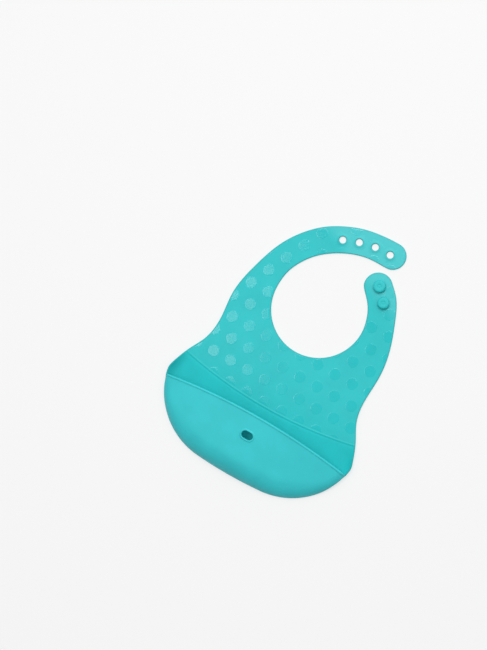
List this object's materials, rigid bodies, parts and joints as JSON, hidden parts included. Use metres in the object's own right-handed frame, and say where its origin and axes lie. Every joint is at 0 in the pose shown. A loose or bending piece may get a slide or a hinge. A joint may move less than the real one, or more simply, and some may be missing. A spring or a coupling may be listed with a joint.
{
  "type": "silicone bib",
  "caption": "Flat silicone baby bib with a moulded catch pocket, a folding chest, and two neck straps that close with studs and eyelets.",
  "frame": {"origin": "centre of the bib's footprint, on its back face", "axes": "+X to the right as the front is seen, +Y from the pocket towards the neck, +Z out of the front"},
  "size_m": [0.23, 0.312, 0.0259],
  "materials": {
    "panel_silicone": "matte silicone with polished round patches",
    "pocket_silicone": "smooth matte silicone",
    "strap_silicone": "satin silicone"
  },
  "bodies": {
    "catcher": {"catcher_back": "panel_silicone", "pocket_bottom": "pocket_silicone", "pocket_side_left": "pocket_silicone", "pocket_side_right": "pocket_silicone"},
    "pocket_front": {"pocket_front": "pocket_silicone", "pocket_rim": "pocket_silicone", "slot_collar": "pocket_silicone"},
    "chest_lower": {"chest_lower": "panel_silicone"},
    "chest_upper": {"chest_upper": "panel_silicone"},
    "long_strap_root": {"long_strap_root": "strap_silicone"},
    "long_strap_arch": {"long_strap_arch": "strap_silicone"},
    "long_strap_end": {"long_strap_end": "strap_silicone", "eyelet_1": "strap_silicone", "eyelet_2": "strap_silicone", "eyelet_3": "strap_silicone", "eyelet_4": "strap_silicone"},
    "short_strap_root": {"short_strap_root": "strap_silicone"},
    "short_strap_end": {"short_strap_end": "strap_silicone", "stud_upper": "strap_silicone", "stud_lower": "strap_silicone"}
  },
  "joints": [
    {"name": "pocket_flex", "type": "hinge", "parent": "catcher", "child": "pocket_front", "pos_m": [0, -0.1385, 0.0117], "axis": [1, 0, 0], "range_deg": [-8, 6], "stiffness_Nm_per_rad": 0.6},
    {"name": "chest_fold", "type": "hinge", "parent": "catcher", "child": "chest_lower", "pos_m": [0, -0.066, 0.001], "axis": [1, 0, 0], "range_deg": [0, 105]},
    {"name": "chest_roll", "type": "hinge", "parent": "chest_lower", "child": "chest_upper", "pos_m": [0, -0.025, 0.001], "axis": [1, 0, 0], "range_deg": [0, 45]},
    {"name": "long_strap_lift", "type": "hinge", "parent": "chest_upper", "child": "long_strap_root", "pos_m": [-0.073, 0.01, 0.001], "axis": [-0.9848, -0.1736, 0], "range_deg": [-24.5, 0]},
    {"name": "long_strap_curl", "type": "hinge", "parent": "long_strap_root", "child": "long_strap_arch", "pos_m": [-0.07, 0.06, 0.001], "axis": [-0.8988, -0.4384, 0], "range_deg": [-76, 0]},
    {"name": "long_strap_tip_curl", "type": "hinge", "parent": "long_strap_arch", "child": "long_strap_end", "pos_m": [-0.045, 0.108, 0.001], "axis": [-0.6947, 0.7193, 0], "range_deg": [-52.5, 0]},
    {"name": "short_strap_lift", "type": "hinge", "parent": "chest_upper", "child": "short_strap_root", "pos_m": [0.071, 0.01, 0.001], "axis": [-0.9426, 0.3338, 0], "range_deg": [-32, 0]},
    {"name": "short_strap_curl", "type": "hinge", "parent": "short_strap_root", "child": "short_strap_end", "pos_m": [0.07, 0.052, 0.001], "axis": [-0.8949, 0.4462, 0], "range_deg": [-83, 0]}
  ],
  "couplings": [
    {"joint": "chest_roll", "follows": "chest_fold", "ratio": 0.4285},
    {"joint": "long_strap_lift", "follows": "long_strap_curl", "ratio": 0.3223},
    {"joint": "long_strap_tip_curl", "follows": "long_strap_curl", "ratio": 0.6907},
    {"joint": "short_strap_lift", "follows": "short_strap_curl", "ratio": 0.3855}
  ]
}
